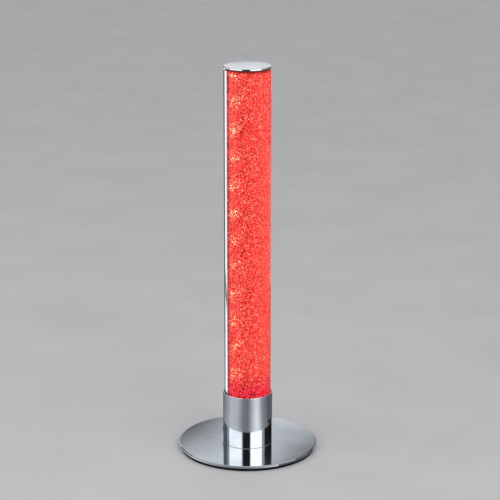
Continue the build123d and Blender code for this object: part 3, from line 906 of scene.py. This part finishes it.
@dataclass(frozen=True)
class CloudedPanel(LightPanel):
    """An opal light panel that is lit in soft diagonal clouds.

    Attributes:
        fade: Loss of brightness from the middle to the left and right edges.
        sway: Change of brightness from the middle to the corners, opposite in neighbouring corners.
        half_width: Half the panel's width, in metres.
        middle: Height of the panel's middle, in metres.
        half_height: Half the panel's height, in metres.
        shift: Distance of the brightest place from the panel's middle, in metres.
        bearing: Azimuth of the panel's middle, in degrees.
    """

    fade: float = 0.0
    sway: float = 0.0
    half_width: float = 1.0
    middle: float = 0.0
    half_height: float = 1.0
    shift: float = 0.0
    bearing: float = 0.0

    def paint(self, nodes: Nodes) -> None:
        """Light the panel in clouds.

        Args:
            nodes: Nodes of the material.
        """
        super().paint(nodes)
        coords = nodes.add("TexCoord").outputs["Object"]
        azimuth = math.radians(self.bearing)
        right = Vector((math.cos(azimuth), math.sin(azimuth), 0.0))
        moved = nodes.add("Mapping", {
            "Vector": coords, "Location": -self.shift * right - Vector((0.0, 0.0, self.middle))})
        aside = nodes.add("VectorMath", (moved, right), operation="DOT_PRODUCT")
        up = nodes.add("SeparateXYZ", (moved,)).outputs["Z"]
        corner = nodes.add("Math", (aside, up), operation="MULTIPLY")
        gain = self.sway / (self.half_width * self.half_height)
        cloud = nodes.add("Math", (corner, gain, self.level), operation="MULTIPLY_ADD")
        off = nodes.add("Math", (aside,), operation="ABSOLUTE")
        loss = self.fade / self.half_width
        level = nodes.add("Math", (off, -loss, cloud), operation="MULTIPLY_ADD")
        level = nodes.add("Math", (level, 0.0), operation="MAXIMUM")
        nodes.shade({"Emission Strength": level})


@dataclass(frozen=True)
class RingPanel(Finish):
    """Opal panels in a ring round the lamp, each lit to its own level, with soft joins.

    Attributes:
        azimuth: Azimuth of the bearing 0, in degrees.
        levels: Bearings from -180 to 180 degrees, each with the grey of the panel there.
        strength: Brightness of white.
    """

    azimuth: float = 0.0
    levels: tuple[tuple[float, str], ...] = ()
    strength: float = 1.1

    def paint(self, nodes: Nodes) -> None:
        """Light the ring by the bearing of each place.

        Args:
            nodes: Nodes of the material.
        """
        coords = nodes.add("TexCoord").outputs["Object"]
        turn = math.radians(-self.azimuth)
        turned = nodes.add("Mapping", {"Vector": coords, "Rotation": (0.0, 0.0, turn)})
        axes = nodes.add("SeparateXYZ", (turned,))
        front = nodes.add("Math", (axes.outputs["Y"], -1.0), operation="MULTIPLY")
        bearing = nodes.add("Math", (axes.outputs["X"], front), operation="ARCTAN2")
        share = nodes.add("MapRange", (bearing, -math.pi, math.pi))
        glow = nodes.add("ValToRGB", {"Fac": share}, stops=[
            ((degrees + 180) / 360, grey) for degrees, grey in self.levels])
        nodes.shade({"Emission Color": glow, "Emission Strength": self.strength})
        show_face(nodes)


# Pressed wool felt: black and dull, so that a mirror shows a dark band.
FELT = Moulding("black_felt", colour="#060606", fleck="#0A0A0A", roughness=(0.9, 1.0), grain_mm=2.0)
# Opal panels at three levels: a mirror shows them as plain dark, grey and white fields.
DARK_PANEL = LightPanel("dark_panel", level=0.02)
GREY_PANEL = LightPanel("grey_panel", level=0.17)
WHITE_PANEL = LightPanel("white_panel", level=1.15)
# Panels on the table round the plate: the collar shows them as soft upright bands.
TABLE_PANELS = RingPanel("table_panels", azimuth=CAMERA_AZIMUTH, levels=(
    (-150.0, "#5E6062"), (-95.0, "#ABADB0"), (-76.0, "#CCCFD2"), (-45.0, "#C8CBCE"), (-18.0, "#828487"),
    (2.0, "#7A7C7F"), (36.0, "#F6FAFE"), (45.0, "#EEF2F6"), (65.0, "#96999C"), (103.0, "#5B5D5F"),
    (150.0, "#5B5D5F")))
# An unevenly lit panel: the plate's top shows it as a soft slanting gradient.
CLOUDED_PANEL = CloudedPanel("clouded_panel", level=0.87, fade=0.5, sway=-0.55, half_width=0.11,
                             middle=0.33, half_height=0.045, shift=0.012, bearing=CAMERA_AZIMUTH)


@dataclass
class Studio:
    """Floor, world, lamps and cards, placed by their bearing from the camera as seen at the lamp.

    Attributes:
        camera_azimuth: Azimuth of the camera, in degrees from the front.
        floor_radius: Radius of the floor, in metres.
        background: Greys of the surroundings that the eye, metal and glass see, by the sine of elevation.
        fill: Brightness of the surroundings as light.
        softbox_distance: Metres from the lamp's axis to a softbox.
        softbox_heights: Heights of a softbox's lower and upper edge, in metres.
        card_distance: Metres from the lamp's axis to the upright cards.
        card_steps: Flat pieces that make up a curved card.
    """

    camera_azimuth: float = CAMERA_AZIMUTH
    floor_radius: float = 9.0
    background: tuple[tuple[float, str], ...] = (
        (0.0, "#C4C5C8"), (0.1, "#D0D1D4"), (0.21, "#FEFEFF"), (0.38, "#C4C5C8"))
    fill: float = 0.62
    softbox_distance: float = 1.6
    softbox_heights: tuple[float, float] = (0.3, 1.6)
    card_distance: float = 1.5
    card_steps: int = 48

    def spot(self, bearing: float, distance: float, height: float) -> Vector:
        """Give a place in the studio.

        Args:
            bearing: Degrees to the right of the camera as the camera sees it.
            distance: Metres from the lamp's axis.
            height: Metres above the floor.

        Returns:
            The place in the lamp's frame.
        """
        azimuth = math.radians(self.camera_azimuth + bearing)
        return Vector((distance * math.sin(azimuth), -distance * math.cos(azimuth), height))

    def build_floor(self) -> None:
        """Lay the floor, a round sheet."""
        shape = bmesh.new()
        bmesh.ops.create_circle(shape, cap_ends=True, segments=128, radius=self.floor_radius)
        floor = place_mesh("pale_floor", shape, TableTop("matt_pale_lacquer"))

    def build_world(self) -> None:
        """Make the surroundings: pale to the eye and in reflections, softer as light."""
        world = bpy.data.worlds.new("pale_surroundings")
        world.use_nodes = True
        nodes = Nodes(world.node_tree, "Background", "OutputWorld")
        path = nodes.add("LightPath").outputs
        seen = nodes.add("Math", (path["Is Camera Ray"], path["Is Glossy Ray"]), operation="MAXIMUM")
        seen = nodes.add("Math", (seen, path["Is Transmission Ray"]), operation="MAXIMUM")
        way = nodes.add("SeparateXYZ", (nodes.add("TexCoord").outputs["Generated"],))
        shade = nodes.add("ValToRGB", {"Fac": way.outputs["Z"]}, stops=self.background)
        pale = (self.fill, self.fill, self.fill, 1.0)
        level = nodes.add("Mix", {"Factor": seen, "A": pale, "B": shade}, data_type="RGBA")
        nodes.shade({"Color": level})
        bpy.context.scene.world = world

    def build_softbox(self, name: str, bearing: float, half_width: float, radiance: float) -> None:
        """Stand a softbox round the lamp, with a panel as bright under it that only mirrors show.

        The softbox hangs clear of the floor, so that the floor has no glare, and the panel carries its face
        down to the floor in the metal's reflections.

        Args:
            name: Name of the softbox.
            bearing: Bearing of its middle, in degrees.
            half_width: Half its width as an angle at the lamp, in degrees.
            radiance: Brightness of its face.
        """
        bottom, top = self.softbox_heights
        away = self.softbox_distance
        light = bpy.data.lights.new(name, "AREA")
        light.shape = "RECTANGLE"
        light.size = 2 * away * math.tan(math.radians(half_width))
        light.size_y = top - bottom
        # The power that gives an evenly lit face this radiance.
        light.energy = radiance * math.pi * light.size * light.size_y
        box = bpy.data.objects.new(name, light)
        box.location = self.spot(bearing, away, (bottom + top) / 2)
        box.rotation_euler = (math.radians(90), 0.0, math.radians(self.camera_azimuth + bearing))
        box.visible_camera = False
        bpy.context.scene.collection.objects.link(box)
        panel = LightPanel(name + "_panel", level=radiance)
        bearings = (bearing - half_width, bearing + half_width)
        self.build_card(name + "_foot", panel, bearings, (away, 0.0), (away, bottom))

    def build_card(self, name: str, finish: Finish, bearings: tuple[float, float],
                   near: tuple[float, float], far: tuple[float, float], skew: float = 0.0) -> None:
        """Put up a curved card that only mirrors show.

        Args:
            name: Name of the card.
            finish: Finish of the card.
            bearings: Bearings of its left and right edge, in degrees.
            near: Distance from the lamp's axis and height of its lower or nearer edge, in metres.
            far: The same for its upper or farther edge.
            skew: Metres that the right edge stands farther from the lamp than the left one.
        """
        shape = bmesh.new()
        start, end = bearings
        pairs = []
        for step in range(self.card_steps + 1):
            share = step / self.card_steps
            turn = start + (end - start) * share
            pairs.append([shape.verts.new(self.spot(turn, distance + skew * share, height))
                          for distance, height in (near, far)])
        for (a, b), (c, d) in zip(pairs, pairs[1:]):
            shape.faces.new((a, b, d, c))
        card = place_mesh(name, shape, finish)
        card.visible_camera = False
        card.visible_diffuse = False
        card.visible_transmission = False
        card.visible_shadow = False

    def build(self) -> None:
        """Build the whole studio."""
        self.build_floor()
        self.build_world()
        self.build_softbox("softbox_left", bearing=-62.0, half_width=34.0, radiance=1.5)
        self.build_softbox("softbox_right", bearing=42.0, half_width=28.0, radiance=1.9)
        away = self.card_distance
        # Round the camera: the dark band down the collar and the dark mark on the cap's rim.
        self.build_card("card_at_camera", FELT, (-22.0, 10.0), (away, 0.49), (away, 0.9))
        self.build_card("card_under_camera", FELT, (-22.0, 10.0), (away, 0.0), (away, 0.2))
        # Behind the lamp: the collar's dark edges, and a calm field round them.
        self.build_card("card_behind_right", FELT, (86.0, 152.0), (away, 0.42), (away, 0.67))
        self.build_card("card_behind_left", GREY_PANEL, (-165.0, -112.0), (away, 0.3), (away, 1.0))
        self.build_card("card_low_right", GREY_PANEL, (120.0, 160.0), (away, 0.01), (away, 0.42))
        self.build_card("card_high_right", GREY_PANEL, (100.0, 152.0), (away, 0.67), (away, 1.5))
        # At the plate's edge: a low skirt that keeps the bright table out of the edge's reflection.
        self.build_card("skirt_right", GREY_PANEL, (27.0, 75.0), (0.0775, 0.0), (0.0775, 0.004))
        # On the table, beside and behind: the dark and the white line in the strip, and the break in them.
        self.build_card("floor_card_dark", DARK_PANEL, (-186.0, -146.0), (0.18, 0.002), (2.8, 0.002))
        self.build_card("floor_card_white", WHITE_PANEL, (-142.0, -106.0), (0.18, 0.002), (2.8, 0.002))
        self.build_card("floor_card_stripe", DARK_PANEL, (-162.0, -106.0), (0.745, 0.003), (0.82, 0.003),
                        skew=-0.4)
        # On the table round the plate, and behind it: the collar's bands and the plate's gradient.
        self.build_card("ring_on_floor", TABLE_PANELS, (-180.0, 180.0), (0.079, 0.001), (0.6, 0.001))
        self.build_card("panel_behind", CLOUDED_PANEL, (168.0, 192.0), (0.8, 0.24), (0.8, 0.42))
        bpy.context.scene.view_settings.view_transform = "Standard"


@dataclass
class PhotoCamera:
    """The camera at the photograph's viewing angle.

    Attributes:
        azimuth: Degrees from the lamp's front.
        distance: Metres from the lamp's axis.
        height: Metres above the floor.
        pitch: Degrees below level.
        focal_px: Focal length in pixels of the picture.
        picture_px: Width of the picture.
        axis_px: Pixel column of the lamp's axis.
        sensor_mm: Width of the sensor.
    """

    azimuth: float = CAMERA_AZIMUTH
    distance: float = 1.7628
    height: float = 0.7259
    pitch: float = 15.92
    focal_px: float = 1719.0
    picture_px: float = 500.0
    axis_px: float = 247.49
    sensor_mm: float = 36.0

    def build(self) -> None:
        """Set the camera up and make it the scene's."""
        lens = bpy.data.cameras.new("photo_camera")
        lens.sensor_width = self.sensor_mm
        lens.lens = self.focal_px / self.picture_px * self.sensor_mm
        camera = bpy.data.objects.new("photo_camera", lens)
        azimuth = math.radians(self.azimuth)
        aside = math.atan((self.picture_px / 2 - self.axis_px) / self.focal_px)
        away = self.distance
        camera.location = (away * math.sin(azimuth), -away * math.cos(azimuth), self.height)
        camera.rotation_euler = (math.radians(90.0 - self.pitch), 0.0, azimuth - aside)
        bpy.context.scene.collection.objects.link(camera)
        bpy.context.scene.camera = camera


def main() -> None:
    """Build and dress the lamp, the studio and the camera."""
    logging.basicConfig(level=logging.INFO, format="%(name)s: %(message)s")
    PhotoCamera().build()
    Base().dress()
    column = Column()
    column.dress()
    column.build_film()
    Top().dress()
    Control().dress()
    Studio().build()


if __name__ == "__main__":
    main()
